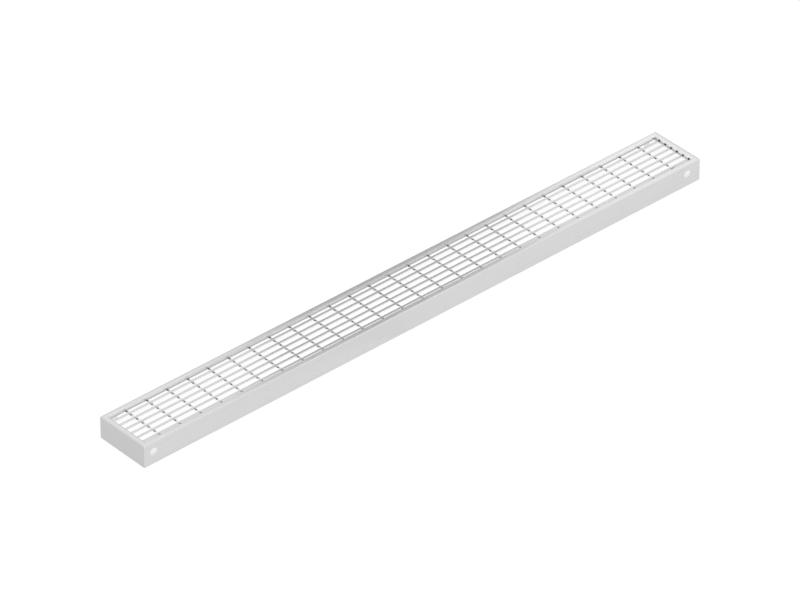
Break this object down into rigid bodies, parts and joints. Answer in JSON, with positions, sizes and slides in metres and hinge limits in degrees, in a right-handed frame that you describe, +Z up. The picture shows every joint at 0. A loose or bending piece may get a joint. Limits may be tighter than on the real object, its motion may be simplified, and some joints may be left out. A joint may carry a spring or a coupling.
{
  "type": "channel drain grate",
  "caption": "Long steel drain grate: a mitred frame of folded sheet rails with a mesh of flat bars set below its rim and round locking nubs on its side walls.",
  "frame": {"origin": "middle of the frame's footprint, on the plane of its bottom edges", "axes": "+X along the grate, +Y across it, +Z up out of the rim"},
  "size_m": [1, 0.0926, 0.0345],
  "materials": {
    "side_rail": "folded stainless steel sheet, satin",
    "end_rail": "folded stainless steel sheet, satin",
    "long_bar": "flat stainless steel bar, satin",
    "cross_bar": "flat stainless steel bar, satin"
  },
  "bodies": {
    "root": {"side_rail_near": "side_rail", "side_rail_far": "side_rail", "end_rail_left": "end_rail", "end_rail_right": "end_rail", "long_bar_1": "long_bar", "long_bar_2": "long_bar", "long_bar_3": "long_bar", "long_bar_4": "long_bar", "long_bar_5": "long_bar", "long_bar_6": "long_bar", "cross_bar_1": "cross_bar", "cross_bar_2": "cross_bar", "cross_bar_3": "cross_bar", "cross_bar_4": "cross_bar", "cross_bar_5": "cross_bar", "cross_bar_6": "cross_bar", "cross_bar_7": "cross_bar", "cross_bar_8": "cross_bar", "cross_bar_9": "cross_bar", "cross_bar_10": "cross_bar", "cross_bar_11": "cross_bar", "cross_bar_12": "cross_bar", "cross_bar_13": "cross_bar", "cross_bar_14": "cross_bar", "cross_bar_15": "cross_bar", "cross_bar_16": "cross_bar", "cross_bar_17": "cross_bar", "cross_bar_18": "cross_bar", "cross_bar_19": "cross_bar", "cross_bar_20": "cross_bar", "cross_bar_21": "cross_bar", "cross_bar_22": "cross_bar", "cross_bar_23": "cross_bar", "cross_bar_24": "cross_bar", "cross_bar_25": "cross_bar", "cross_bar_26": "cross_bar", "cross_bar_27": "cross_bar"}
  },
  "joints": []
}
